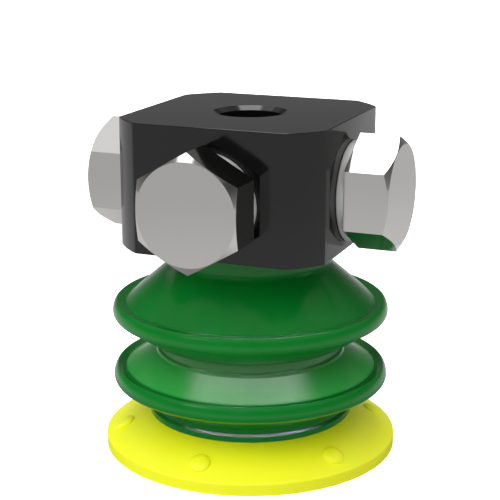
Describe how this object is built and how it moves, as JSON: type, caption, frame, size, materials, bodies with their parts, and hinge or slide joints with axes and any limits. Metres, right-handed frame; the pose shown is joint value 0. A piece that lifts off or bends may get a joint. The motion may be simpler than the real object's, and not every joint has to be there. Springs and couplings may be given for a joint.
{
  "type": "bellows suction cup",
  "caption": "Bellows suction cup with a soft sealing lip, held by its neck on a square fitting block with threaded air ports, the side ones closed by hexagon-head screw plugs",
  "frame": {"origin": "centre of the lip's sealing face, which is also the bottom centre of the part's box", "axes": "+Z is the cup's axis, from the lip up to the block; the block's sides and its plugs face along X and Y"},
  "size_m": [0.0254, 0.0254, 0.0277],
  "materials": {
    "black_anodised_aluminium": "glossy black anodised",
    "green_polyurethane": "smooth dark green, slightly glossy",
    "yellow_polyurethane": "smooth bright yellow, soft sheen",
    "nickel_plate": "polished nickel plate",
    "pale_seal": "smooth pale grey"
  },
  "bodies": {
    "root": {"fitting_block": "black_anodised_aluminium", "bellows": "green_polyurethane", "sealing_lip": "yellow_polyurethane", "right_plug": "nickel_plate", "right_seal": "pale_seal", "back_plug": "nickel_plate", "back_seal": "pale_seal", "left_plug": "nickel_plate", "left_seal": "pale_seal", "front_plug": "nickel_plate", "front_seal": "pale_seal"}
  },
  "joints": []
}
